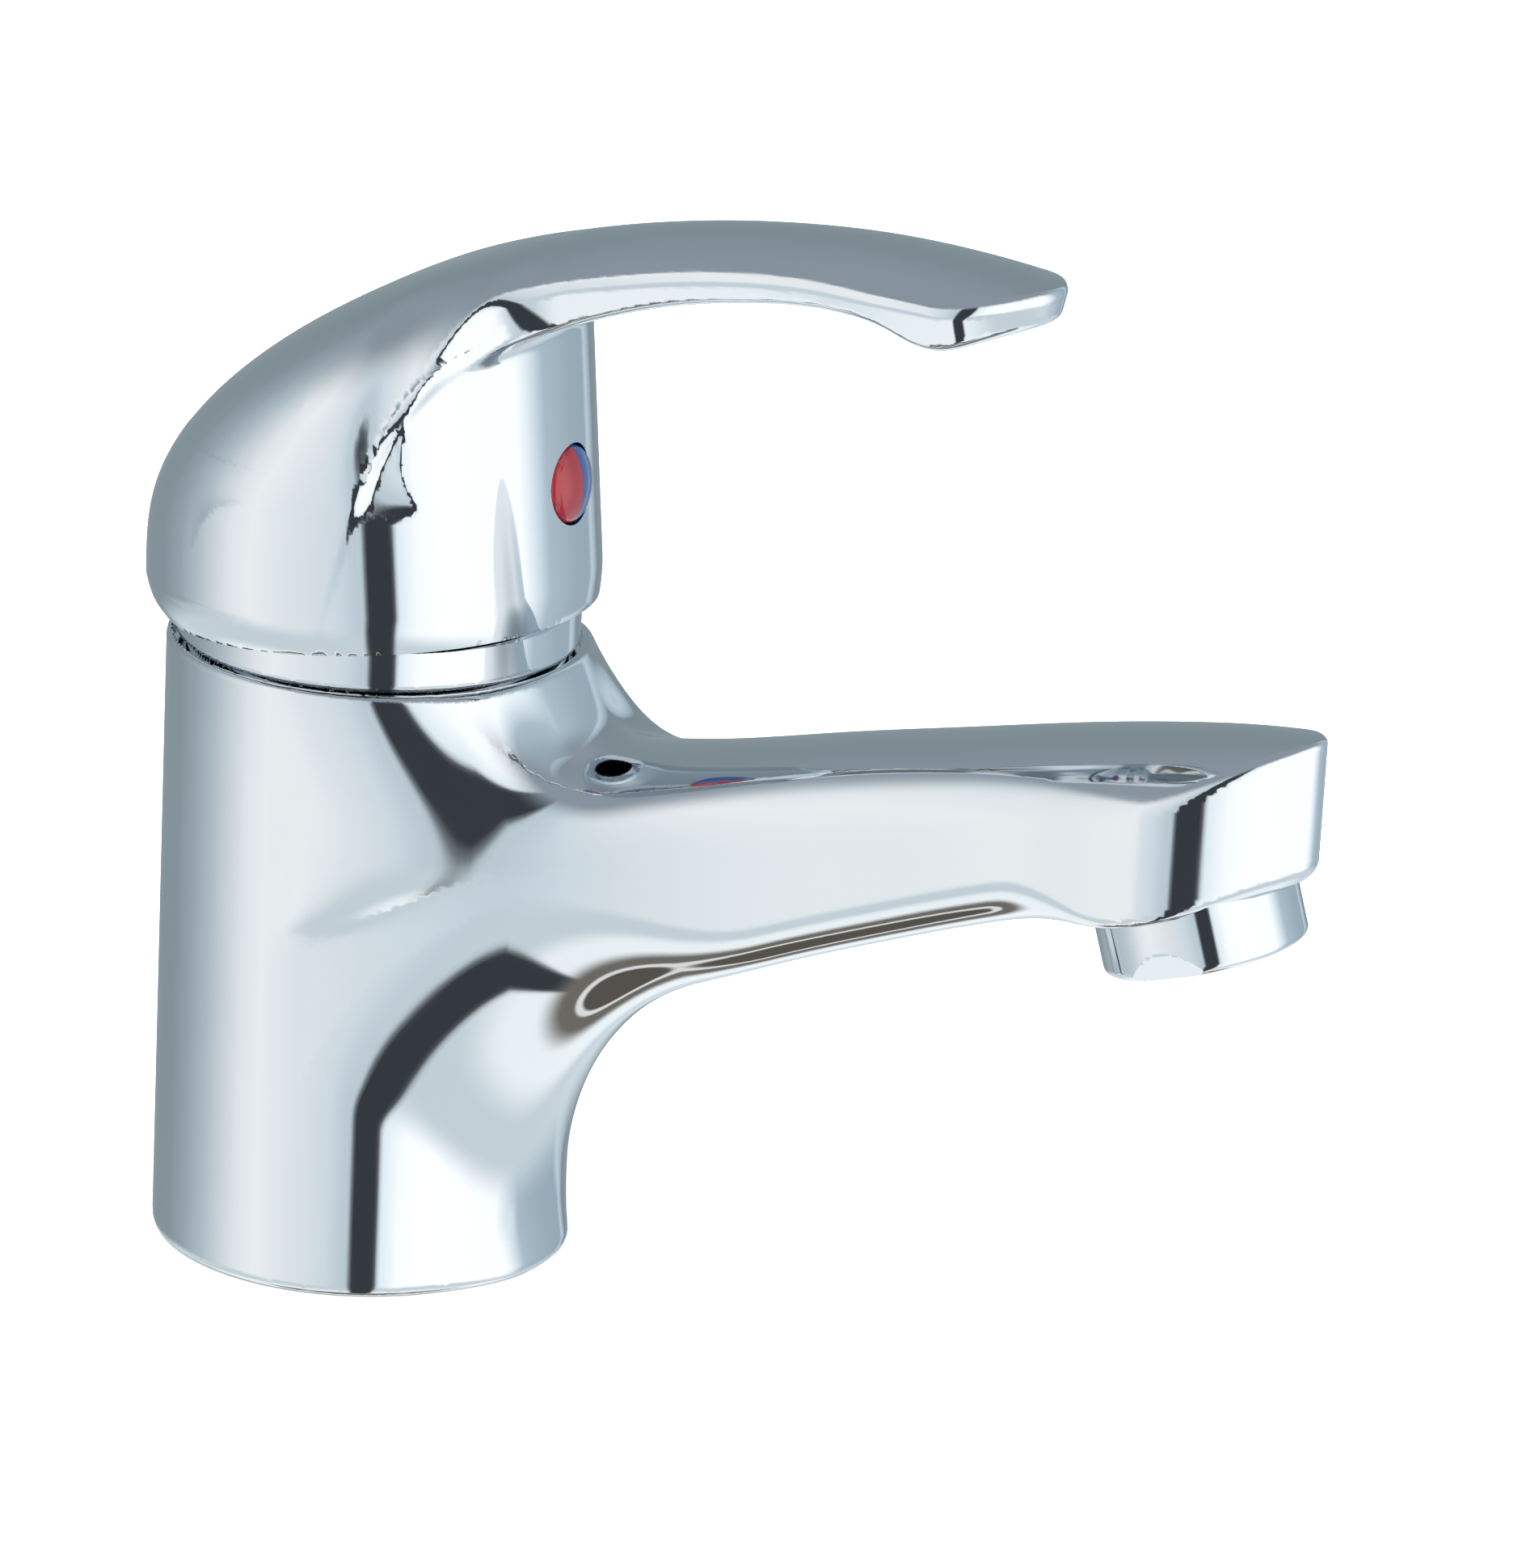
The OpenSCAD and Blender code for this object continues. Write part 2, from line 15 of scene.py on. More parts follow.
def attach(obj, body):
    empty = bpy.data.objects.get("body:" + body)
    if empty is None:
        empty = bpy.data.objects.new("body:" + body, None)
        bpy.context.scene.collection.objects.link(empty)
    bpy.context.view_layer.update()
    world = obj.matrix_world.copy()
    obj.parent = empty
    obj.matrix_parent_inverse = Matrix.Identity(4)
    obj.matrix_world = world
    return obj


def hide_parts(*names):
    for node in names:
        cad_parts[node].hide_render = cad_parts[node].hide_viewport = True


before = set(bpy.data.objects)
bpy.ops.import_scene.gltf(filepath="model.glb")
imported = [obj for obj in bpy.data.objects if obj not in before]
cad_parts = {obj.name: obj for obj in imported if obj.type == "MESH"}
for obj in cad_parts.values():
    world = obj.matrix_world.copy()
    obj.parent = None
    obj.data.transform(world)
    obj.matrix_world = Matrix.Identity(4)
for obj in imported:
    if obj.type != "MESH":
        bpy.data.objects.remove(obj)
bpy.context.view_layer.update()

MM = 0.001

# ---- Driving sizes, in millimetres and degrees, as in the CAD model --------------------------

COLUMN_R = 25.3
RIM_Z = 76.0
RIM_ROUND = 0.8
FOOT_ROUND = 1.0
NECK_LEAN = 24.0
RECESS_R = 18.5
RECESS_DEPTH = 26.0
POCKET_R = 17.65
POCKET_Z = 42.0
NUT_BORE_R = 19.9
NUT_SHOULDER_Z = 68.0
HEAD_X = 105.0
HEAD_LENGTH = 17.1
HEAD_POWER = 1.48
OUTLET = (109.2, 0.0, 57.4)
OUTLET_LEAN = 17.0
AERATOR_R = 12.0
AERATOR_DROP = 7.0
AERATOR_TOP = 13.0
FLAT_HALF_WIDTH = 10.9
RIB_PITCH = 2.5
RIB_COUNT = 7
RIB_REACH = 8.77
RING_R = 24.3
RING_WALL_Z = 81.0
PIVOT_Z = 64.0
HANDLE_LEAN = 5.0
SKIRT_Z = 80.3
SKIRT_EDGE_R = 26.3
SKIRT_BORE_R = 24.85
DOME_R = 27.9
BOSS_R = 26.9
PLUG_W = 16.2
PLUG_R = 4.8
PLUG_DOME_R = 9.0
STEM_LEAN = 12.0
STEM_SQUARE = 8.0
SEAL_GROOVE_R = 21.6
SEAL_GROOVE_DEPTH = 2.0
RIM_GAP_R = 23.75
RIM_GAP_DEPTH = 1.2
HOSE_AT = (-6.2, 7.0)
HOSE_R = 4.5
HOSE_TOP_Z = 37.0
STUD_X = -11.5
STUD_R = 3.4
STUD_TOP_Z = 35.0


# ---- Curves and distances --------------------------------------------------------------------

def spline(points):
    """Natural cubic curve through (x, y) points, as a function that holds its end values."""
    px, py = (np.array(v, float) for v in zip(*points))
    n = len(px)
    h = np.diff(px)
    a = np.eye(n)
    b = np.zeros(n)
    for i in range(1, n - 1):
        a[i, i - 1:i + 2] = h[i - 1], 2 * (h[i - 1] + h[i]), h[i]
        b[i] = 6 * ((py[i + 1] - py[i]) / h[i] - (py[i] - py[i - 1]) / h[i - 1])
    m = np.linalg.solve(a, b)

    def curve(x):
        x = np.clip(x, px[0], px[-1])
        i = np.clip(np.searchsorted(px, x) - 1, 0, n - 2)
        s = px[i + 1] - x
        t = x - px[i]
        w = h[i]
        ends = (m[i] * s ** 3 + m[i + 1] * t ** 3) / (6 * w)
        return ends + (py[i] / w - m[i] * w / 6) * s + (py[i + 1] / w - m[i + 1] * w / 6) * t

    return curve


def smoothstep(low, high, x):
    """0 below low, 1 above high, and an even curve between them."""
    t = np.clip((x - low) / (high - low), 0, 1)
    return t * t * (3 - 2 * t)


def join(a, b, r):
    """Union with a round fillet of radius r in the corner."""
    r = np.maximum(r, 1e-4)
    return np.maximum(r, np.minimum(a, b)) - np.hypot(np.maximum(r - a, 0), np.maximum(r - b, 0))


def melt(a, b, reach):
    """Union whose corner fades in and out without a seam, over this reach."""
    h = np.maximum(reach - np.abs(a - b), 0) / np.maximum(reach, 1e-4)
    return np.minimum(a, b) - h ** 3 * reach / 6


def cut(a, b, r):
    """Intersection with a round edge of radius r."""
    return -join(-a, -b, r)


def leaned(x, z, about_x, about_z, degrees):
    """Coordinates in a frame whose up axis leans backwards, towards -X, by this many degrees."""
    c = math.cos(math.radians(degrees))
    s = math.sin(math.radians(degrees))
    return (x - about_x) * c + (z - about_z) * s, (z - about_z) * c - (x - about_x) * s


def gradient(shape, p, eps=0.02):
    """Unit gradient of a distance at the points p, an array of rows."""
    g = np.empty_like(p)
    for axis in range(3):
        step = np.zeros(3)
        step[axis] = eps
        ahead = p + step
        behind = p - step
        g[:, axis] = shape(*ahead.T) - shape(*behind.T)
    return g / np.maximum(np.linalg.norm(g, axis=1, keepdims=True), 1e-12)


# ---- Dual contouring -------------------------------------------------------------------------

# Steps of the search for each crossing
SEARCH_STEPS = 6
# Pull of a vertex towards the middle of its crossings, against the planes through them
MIDDLE_PULL = 0.03
# How far a vertex may leave its cell, and move onto the surface at the end, in grid steps
CELL_SLACK = 0.1
LAST_MOVE = 0.3


def crossings(shape, axes, field, axis):
    """Grid edges along one axis that pass through the surface: their lower ends, points, and whether
    each lower end lies inside.
    """
    low = [slice(None)] * 3
    high = [slice(None)] * 3
    low[axis] = slice(None, -1)
    high[axis] = slice(1, None)
    d0 = field[tuple(low)]
    d1 = field[tuple(high)]
    cell = np.argwhere((d0 < 0) != (d1 < 0))
    start = np.stack([axes[k][cell[:, k]] for k in range(3)], 1)
    a = np.zeros(len(cell))
    b = np.full(len(cell), axes[axis][1] - axes[axis][0])
    inside = d0[tuple(cell.T)] < 0
    fa = d0[tuple(cell.T)]
    fb = d1[tuple(cell.T)]
    for _ in range(SEARCH_STEPS):
        t = a + (b - a) * np.clip(fa / (fa - fb), 0.05, 0.95)
        p = start.copy()
        p[:, axis] += t
        f = shape(*p.T)
        lower = (f < 0) == inside
        a = np.where(lower, t, a)
        fa = np.where(lower, f, fa)
        b = np.where(lower, b, t)
        fb = np.where(lower, fb, f)
    point = start.copy()
    point[:, axis] += (a + b) / 2
    return cell, point, inside


def cell_vertices(edges, axes, shape, step):
    """One vertex per crossed cell, where the planes of its crossings meet."""
    size = [len(v) - 1 for v in axes]
    ids = []
    points = []
    normals = []
    for axis, (cell, point, _) in enumerate(edges):
        normal = gradient(shape, point)
        across = [k for k in range(3) if k != axis]
        for da in (0, 1):
            for db in (0, 1):
                c = cell.copy()
                c[:, across[0]] -= da
                c[:, across[1]] -= db
                ids.append(np.ravel_multi_index(tuple(c.T), size))
                points.append(point)
                normals.append(normal)
    ids = np.concatenate(ids)
    points = np.concatenate(points)
    normals = np.concatenate(normals)
    cells, which = np.unique(ids, return_inverse=True)
    count = np.bincount(which)
    middle = np.stack([np.bincount(which, points[:, k]) for k in range(3)], 1) / count[:, None]
    offset = points - middle[which]
    reach = np.einsum("ij,ij->i", normals, offset)
    ata = np.empty((len(cells), 3, 3))
    atb = np.empty((len(cells), 3))
    for i in range(3):
        atb[:, i] = np.bincount(which, normals[:, i] * reach)
        for j in range(3):
            ata[:, i, j] = np.bincount(which, normals[:, i] * normals[:, j])
    ata += MIDDLE_PULL * np.eye(3)
    move = np.linalg.solve(ata, atb[..., None])[..., 0]
    corner = np.stack([axes[k][v] for k, v in enumerate(np.unravel_index(cells, size))], 1)
    vertex = np.clip(middle + move, corner - CELL_SLACK * step, corner + (1 + CELL_SLACK) * step)
    f = shape(*vertex.T)
    last = np.clip(f, -LAST_MOVE * step, LAST_MOVE * step)
    vertex = vertex - last[:, None] * gradient(shape, vertex)
    return cells, vertex, size


def contour(name, shape, low, high, step, place=None, crease=14):
    """Mesh of the surface where shape(x, y, z) is zero, with normals taken from shape.

    step is the grid's, in millimetres. Above crease degrees the normals of an edge are kept apart.
    """
    axes = []
    for a, b in zip(low, high):
        n = math.ceil((b - a) / step) + 1
        axes.append((a + b) / 2 + (np.arange(n + 1) - n / 2) * step)
    field = np.empty([len(v) for v in axes])
    for i, x in enumerate(axes[0]):
        y, z = np.meshgrid(axes[1], axes[2], indexing="ij")
        field[i] = shape(np.full_like(y, x), y, z)
    edges = [crossings(shape, axes, field, axis) for axis in range(3)]
    cells, vertex, size = cell_vertices(edges, axes, shape, step)
    quads = []
    for axis, (cell, _, inside) in enumerate(edges):
        u, v = ((1, 2), (2, 0), (0, 1))[axis]
        ring = []
        for du, dv in ((0, 0), (1, 0), (1, 1), (0, 1)):
            c = cell.copy()
            c[:, u] -= 1 - du
            c[:, v] -= 1 - dv
            ring.append(np.searchsorted(cells, np.ravel_multi_index(tuple(c.T), size)))
        quad = np.stack(ring, 1)
        quads.append(np.where(inside[:, None], quad, quad[:, ::-1]))
    quads = np.concatenate(quads)
    corners = corner_normals(shape, vertex, quads, crease=crease)
    if place is not None:
        turn = np.array(place.to_3x3())
        vertex = vertex @ turn.T + np.array(place.translation) / MM
        corners = corners @ turn.T
    mesh = bpy.data.meshes.new(name)
    mesh.from_pydata((vertex * MM).tolist(), [], quads.tolist())
    mesh.shade_smooth()
    mesh.normals_split_custom_set(corners.tolist())
    piece = bpy.data.objects.new(name, mesh)
    bpy.context.scene.collection.objects.link(piece)
    return piece


def corner_normals(shape, vertex, quads, reach=0.1, crease=14):
    """Normal of each face corner: averaged at its point, or the surface's own across a crease.

    reach is how far towards the face's middle the surface is asked, in millimetres.
    """
    corner = vertex[quads]
    towards = corner.mean(1, keepdims=True) - corner
    towards /= np.maximum(np.linalg.norm(towards, axis=2, keepdims=True), 1e-9)
    own = gradient(shape, (corner + reach * towards).reshape(-1, 3))
    flat = quads.reshape(-1)
    mean = np.stack([np.bincount(flat, own[:, k], len(vertex)) for k in range(3)], 1)
    mean /= np.maximum(np.linalg.norm(mean, axis=1, keepdims=True), 1e-9)
    spread = np.einsum("ij,ij->i", own, mean[flat])
    widest = np.ones(len(vertex))
    np.minimum.at(widest, flat, spread)
    smooth = widest > math.cos(math.radians(crease))
    return np.where(smooth[flat][:, None], mean[flat], own)


# ---- Body casting ----------------------------------------------------------------------------

SPOUT_HALF_WIDTH = spline([(0, 25.2), (8, 24.2), (16, 22), (24, 19.3), (34, 15.9), (46, 13.2),
                           (60, 11.9), (74, 11.6), (85, 11.8), (93, 12.4), (99, 13.1), (105, 13.7)])
SPOUT_CROWN = spline([(0, 60), (20, 65.4), (32, 67.7), (44, 70), (60, 74), (76, 77.7), (90, 80.9),
                      (103, 83.4), (112, 84.7), (124, 85.6)])
SPOUT_CROWN_R = spline([(10, 34), (24, 31), (36, 24), (50, 18), (70, 17), (92, 17.5), (112, 19),
                        (124, 19)])
UNDER_BEND = spline([(40, 0), (48, 0.05), (60, 0.5), (72, 0.57), (84, 0.3), (90, -0.1), (96, -0.7),
                     (104, -1.65), (124, -3.7)])
SWEEP_R = 37.0
SWEEP_AT = (62.3, 8.0)
SWEEP_SLOPE = 22.0


def sweep_under(x, y, z):
    """The spout's underside: an arc out of the column, then the rising line to the head."""
    c = math.cos(math.radians(SWEEP_SLOPE))
    s = math.sin(math.radians(SWEEP_SLOPE))
    dx = x - SWEEP_AT[0]
    dz = z - SWEEP_AT[1]
    arc = SWEEP_R - np.hypot(dx, dz)
    line = SWEEP_R + s * dx - c * dz
    crown = y * y / 60 * (1 - smoothstep(86, 102, x))
    return np.where(dx * c + dz * s < 0, arc, line) + (UNDER_BEND(x) + crown) * c


def spout(x, y, z):
    """The spout and its pointed head: plan outline, round crown and swept underside."""
    u = np.abs(y)
    root = np.hypot(np.minimum(x, 0), y) - SPOUT_HALF_WIDTH(0)
    width = SPOUT_HALF_WIDTH(x)
    ahead = np.maximum(x - HEAD_X, 0) / HEAD_LENGTH
    blunt = np.hypot(u, 1.2 * smoothstep(95, HEAD_X, x))
    across = blunt / width
    nose = (ahead ** HEAD_POWER + across ** HEAD_POWER) ** (1 / HEAD_POWER)
    side = np.where(x < HEAD_X, (blunt - width) * 0.97, (nose - 1) * width * 0.97)
    side = np.where(x < 0, root, side)
    crown_r = SPOUT_CROWN_R(x)
    below = z - SPOUT_CROWN(x) + crown_r
    top = np.where(below > 0, np.hypot(u, below), u) - crown_r
    top_edge = 0.85 + 2.6 * (1 - smoothstep(70, 108, x))
    low_edge = 0.9 + 1.3 * smoothstep(108, 118, x) + 3.9 * (1 - smoothstep(88, 104, x))
    low_edge = low_edge + 9 * (1 - smoothstep(28, 58, x))
    solid = cut(side, top, top_edge)
    return cut(solid, sweep_under(x, y, z), low_edge)


def column(x, y, z):
    """The column and the leaning neck: a round that is drawn out forwards below the rim.

    The second value is x measured from the nearest point of the drawn-out axis.
    """
    drop = np.maximum(RIM_Z - z, 0)
    reach = drop * math.tan(math.radians(NECK_LEAN)) * (1 - smoothstep(13, 34, drop))
    axis_x = x - np.clip(x, 0, reach)
    return np.hypot(axis_x, y) - COLUMN_R, axis_x


def outer_body(x, y, z):
    """Column and spout melted together, by more where they meet at a wider angle."""
    post, post_x = column(x, y, z)
    beam = spout(x, y, z)
    eps = 0.05
    gx = (spout(x + eps, y, z) - beam) / eps
    gy = (spout(x, y + eps, z) - beam) / eps
    gz = (spout(x, y, z + eps) - beam) / eps
    size = np.sqrt(gx * gx + gy * gy + gz * gz) * np.maximum(np.hypot(post_x, y), 1)
    agree = (gx * post_x + gy * y) / np.maximum(size, 1e-6)
    apart = np.sqrt(np.clip(1 - agree, 0, 2) * 2)
    corner = apart * apart / (apart + 0.25)
    upper = 3.2 + 6 * smoothstep(6, 18, np.abs(y))
    low = 1 - smoothstep(50, 64, z)
    fillet = (upper + (9.5 - upper) * low) * smoothstep(-4, 6, x)
    return melt(post, beam, 2.4 * fillet * corner)


def body_shape(x, y, z):
    """The body casting with its rounded ends, and the hollows that open to the outside."""
    radius = np.hypot(x, y)
    solid = outer_body(x, y, z)
    solid = np.where(x < 60, cut(solid, z - RIM_Z, RIM_ROUND), solid)
    solid = cut(solid, -z, FOOT_ROUND)
    recess = np.maximum(radius - RECESS_R, z - RECESS_DEPTH)
    groove = np.maximum(np.abs(radius - SEAL_GROOVE_R) - 1.6, z - SEAL_GROOVE_DEPTH)
    rim_gap = np.maximum(np.abs(radius - RIM_GAP_R) - 0.8, RIM_Z - RIM_GAP_DEPTH - z)
    pocket = np.maximum(radius - POCKET_R, POCKET_Z - z)
    nut_bore = np.maximum(radius - NUT_BORE_R, NUT_SHOULDER_Z - z)
    hollow = np.minimum(np.minimum(recess, groove), np.minimum(pocket, nut_bore))
    hollow = np.minimum(hollow, rim_gap)
    hoses = np.hypot(x - HOSE_AT[0], np.abs(y) - HOSE_AT[1]) - HOSE_R
    hoses = np.maximum(hoses, z - HOSE_TOP_Z)
    stud = np.maximum(np.hypot(x - STUD_X, y) - STUD_R, z - STUD_TOP_Z)
    ox, oz = leaned(x, z, OUTLET[0], OUTLET[2], OUTLET_LEAN)
    around = np.hypot(ox, y)
    bore = np.minimum(np.maximum(around - AERATOR_R + 1.1, oz - AERATOR_TOP - 1),
                      np.maximum(around - 9.5, oz - AERATOR_TOP - 4))
    hollow = np.minimum(np.minimum(hollow, hoses), np.minimum(stud, bore))
    return np.maximum(solid, -hollow)


# ---- Lever handle ----------------------------------------------------------------------------

CROWN_AT = (62.0, 84.0)
CROWN_A = 90.0
CROWN_H = 50.8
CROWN_POWER = 1.87
ARCH_WIDTH2 = spline([(2, 774.4), (5, 748), (8, 694), (11, 612), (14, 590), (17, 645), (20, 760),
                      (26, 760), (32, 640), (40, 600), (50, 680), (60, 860), (70, 1040),
                      (80, 1150), (90, 1200)])
LEVER_HALF_WIDTH = spline([(4, 32), (8, 28.6), (11, 25.5), (14, 22.3), (17, 18.3), (20, 14.6),
                           (24, 12.3), (30, 10.8), (40, 9.8), (50, 9.9), (60, 10.8), (68, 11.8),
                           (75, 12), (80, 12)])
LEVER_EDGE = spline([(8, 98), (12, 109), (16, 117.5), (20, 122.4), (26, 124.8), (33, 126.3),
                     (44, 128.5), (60, 130.6), (72, 131), (88, 131)])
LEVER_UNDER = spline([(2, 62), (7, 86), (9, 95), (10.5, 101.5), (12, 106.4), (14, 110.5),
                      (18, 115), (24, 118.4), (32, 121.7), (40, 124.4), (49, 126.4), (58, 127.7),
                      (64, 127.8), (68.5, 127), (72, 125.6), (75, 125.3), (80, 126.8),
                      (87, 128.8)])
TIP_AT = 75.0
TIP_LENGTH = 11.2
TIP_POWER = 1.6


def shell(x, y, z):
    """The dome and the lever: one long arch, round about the boss at its foot."""
    u = np.abs(y)
    t = np.minimum(np.abs((x - CROWN_AT[0]) / CROWN_A), 0.9999)
    height = CROWN_H * (1 - t ** CROWN_POWER) ** (1 / CROWN_POWER)
    front = smoothstep(-14, 8, x)
    foot2 = (DOME_R - 1.5 * front) ** 2 - (x + 0.85 * front) ** 2
    arch2 = np.where(x < 2, DOME_R ** 2 - x * x, ARCH_WIDTH2(x))
    share = smoothstep(94, 110, z)
    width = np.sqrt(np.maximum(foot2 + (arch2 - foot2) * share, 4))
    power = 3.0 - smoothstep(8, 26, x)
    v = np.maximum(z - CROWN_AT[1], 0)
    level = (u / width) ** power + (v / np.maximum(height, 0.5)) ** power
    level = (np.maximum(level, 1e-6) ** (1 / power) - 1) * width * 0.9
    return np.where(x < 0, np.maximum(level, np.hypot(x, y) - DOME_R), level)


def lever_side(x, y, z):
    """The lever's flanks, which lean inwards going up, and its pointed tip."""
    u = np.abs(y)
    lean = 0.42 * smoothstep(16, 30, x)
    inset = lean * np.clip(LEVER_EDGE(x) - z, -8, 8)
    flank = (u - LEVER_HALF_WIDTH(x) + inset) * (1 - 0.24 * np.exp(-((x - 15) / 6) ** 2))
    tip_u = np.hypot(u, 0.8) / np.maximum(12 - inset, 1)
    tip_x = np.maximum(x - TIP_AT, 0) / (TIP_LENGTH - 0.5 * lean * np.clip(131 - z, -8, 8))
    tip = (np.maximum(tip_x, 1e-9) ** TIP_POWER + tip_u ** TIP_POWER) ** (1 / TIP_POWER) - 1
    return np.where(x > TIP_AT, tip * 9, flank)


def handle_shape(x, y, z):
    """The handle: lever and boss joined, trimmed to the skirt, with the cavity and its holes."""
    hx, w = leaned(x, z, 0, SKIRT_Z, HANDLE_LEAN)
    around = np.hypot(hx, y)
    arch = shell(x, y, z)
    side = lever_side(x, y, z)
    slope = (LEVER_UNDER(x + 0.1) - LEVER_UNDER(x - 0.1)) / 0.2
    under = (LEVER_UNDER(x) - z) / np.hypot(slope, 1)
    lever = cut(arch, side, 0.85)
    lever = np.where(x > 2.2, cut(lever, under, 0.9), lever)
    proud = 6 * (1 - smoothstep(90, 100, z)) * smoothstep(-12, -2, x)
    top = z - np.maximum(LEVER_UNDER(x), 100) - 1.2
    cap = np.maximum(top, arch + 0.5 - proud)
    boss = np.maximum(around - BOSS_R, cap)
    solid = join(lever, boss, 0.9 + 0.7 * smoothstep(102, 110, z))
    flare = 0.55 - 0.15 * hx / BOSS_R
    edge = np.hypot(hx - 0.7, y) - SKIRT_EDGE_R
    skirt = (edge - w * flare - 0.4 * np.maximum(w - 4, 0) ** 2) * 0.87
    solid = cut(solid, skirt, 1.6)
    solid = np.maximum(solid, -w)
    cavity_r = np.interp(w, [2.5, 13, 20, 27.5, 31], [SKIRT_BORE_R, 22.2, 17, 10, 2])
    cavity = np.maximum((np.hypot(hx - 0.35, y) - cavity_r) * 0.8, w - 31)
    sx, s = leaned(x, z, 0, PIVOT_Z, -STEM_LEAN)
    socket = np.maximum(np.hypot(sx, y) - 7.6, 27 - s)
    screw_boss = np.maximum(np.hypot(w - PLUG_W, y) - 5.6, 5 - hx)
    cavity = np.maximum(cavity, -np.minimum(socket, screw_boss))
    solid = np.maximum(solid, -cavity)
    stem_hole = np.maximum(np.maximum(np.abs(sx), np.abs(y)) - STEM_SQUARE / 2 - 0.1, s - 39.2)
    screw_hole = np.maximum(np.hypot(w - PLUG_W, y) - 2.5, 4 - hx)
    plug_seat = np.maximum(np.hypot(w - PLUG_W, y) - PLUG_R - 0.1, BOSS_R - 2.7 - hx)
    return np.maximum(solid, -np.minimum(np.minimum(stem_hole, screw_hole), plug_seat))


# ---- Cap ring, index plug, aerator -----------------------------------------------------------

def ring_shape(x, y, z):
    """Ring over the cartridge nut: a short wall, a shoulder round about the pivot, a flat cone."""
    radius = np.hypot(x, y)
    shoulder = math.hypot(RING_R, RING_WALL_Z - PIVOT_Z)
    wall = cut(radius - RING_R, RIM_Z - z, 0.8)
    dome = np.hypot(radius, z - PIVOT_Z) - shoulder
    cone = (radius - 22.4) * 0.28 + (z - 83.44) * 0.96
    bore = z - np.interp(radius, [15, 20.6, 22.5], [83.8, 83, 81.4])
    solid = np.maximum(np.maximum(wall, dome), cone)
    return np.maximum(np.maximum(solid, 15 - radius), -np.maximum(radius - 22.5, bore))


def plug_shape(side):
    """Half of the lens-shaped plug in the boss; side is -1 for the half at -Y, 1 at +Y."""
    def shape(x, y, z):
        hx, w = leaned(x, z, 0, SKIRT_Z, HANDLE_LEAN)
        out = hx - BOSS_R + 2.6
        radius = np.hypot(w - PLUG_W, y)
        lens = np.hypot(radius, out - 3.9 + PLUG_DOME_R) - PLUG_DOME_R
        solid = cut(radius - PLUG_R, lens, 0.8)
        return np.maximum(np.maximum(solid, -out), 0.02 - side * y)
    return shape


def aerator_shape(x, y, z):
    """Screw-in housing in its own leaning frame: round wall, two slanted wrench flats."""
    radius = np.hypot(x, y)
    wall = cut(radius - AERATOR_R, -z, 0.9)
    wall = np.maximum(wall, z - AERATOR_DROP - 1)
    wall = np.maximum(wall, (np.abs(y) - FLAT_HALF_WIDTH - 0.34 * z) * 0.947)
    thread = np.maximum(radius - AERATOR_R + 1.2, np.maximum(z - AERATOR_TOP, 1 - z))
    return np.maximum(np.minimum(wall, thread), 10.2 - radius)


# ---- Nodes and colours -----------------------------------------------------------------------

def linear(code):
    """Linear RGBA of an sRGB hex colour."""
    parts = [int(code[i:i + 2], 16) / 255 for i in (1, 3, 5)]
    return [c / 12.92 if c <= 0.04045 else ((c + 0.055) / 1.055) ** 2.4 for c in parts] + [1]


def add(tree, kind, inputs=None, **settings):
    """A node of this kind: settings are its properties, inputs its values or the sockets to link."""
    node = tree.nodes.new(kind)
    for key, value in settings.items():
        setattr(node, key, value)
    for key, value in (inputs or {}).items():
        if isinstance(value, bpy.types.NodeSocket):
            tree.links.new(value, node.inputs[key])
        else:
            node.inputs[key].default_value = value
    return node


def new_material(name):
    """An empty node material, its tree, and the Object coordinates that its patterns read."""
    material = bpy.data.materials.new(name)
    material.use_nodes = True
    tree = material.node_tree
    tree.nodes.clear()
    place = add(tree, "ShaderNodeTexCoord").outputs["Object"]
    return material, tree, place


def finish_material(material, tree, shader):
    add(tree, "ShaderNodeOutputMaterial", {"Surface": shader.outputs[0]})
    return material


def noise(tree, place, size_mm, detail=3, roughness=0.5):
    """Noise whose features are about size_mm across."""
    return add(tree, "ShaderNodeTexNoise", {"Vector": place, "Scale": 1 / (size_mm * MM),
                                            "Detail": detail, "Roughness": roughness})


def span(tree, value, low, high, from_low=0.3, from_high=0.7):
    """value, eased from one range to another."""
    return add(tree, "ShaderNodeMapRange",
               {"Value": value, "From Min": from_low, "From Max": from_high,
                "To Min": low, "To Max": high}, interpolation_type="SMOOTHSTEP").outputs["Result"]


def tint(tree, factor, low, high):
    """A colour between two hex colours."""
    mix = add(tree, "ShaderNodeMix", data_type="RGBA")
    tree.links.new(factor, mix.inputs[0])
    mix.inputs[6].default_value = linear(low)
    mix.inputs[7].default_value = linear(high)
    return mix.outputs[2]


def bump(tree, height, depth_mm):
    return add(tree, "ShaderNodeBump", {"Height": height, "Strength": 1, "Distance": depth_mm * MM}
               ).outputs["Normal"]


# ---- Materials -------------------------------------------------------------------------------

def polished_chrome():
    """Bright decorative chromium over nickel on buffed brass: a cold, almost clear mirror.
    Buffing leaves a faint haze in patches, and the casting under it waves by a few microns."""
    material, tree, place = new_material("polished_chromium_plate")
    haze = span(tree, noise(tree, place, 9, 4).outputs["Fac"], 0.025, 0.06)
    wave = bump(tree, noise(tree, place, 22, 1).outputs["Fac"], 0.02)
    colour = tint(tree, noise(tree, place, 30, 2).outputs["Fac"], "#D3D8DC", "#DADEE1")
    shader = add(tree, "ShaderNodeBsdfPrincipled",
                 {"Base Color": colour, "Metallic": 1.0, "Roughness": haze, "Normal": wave})
    return finish_material(material, tree, shader)


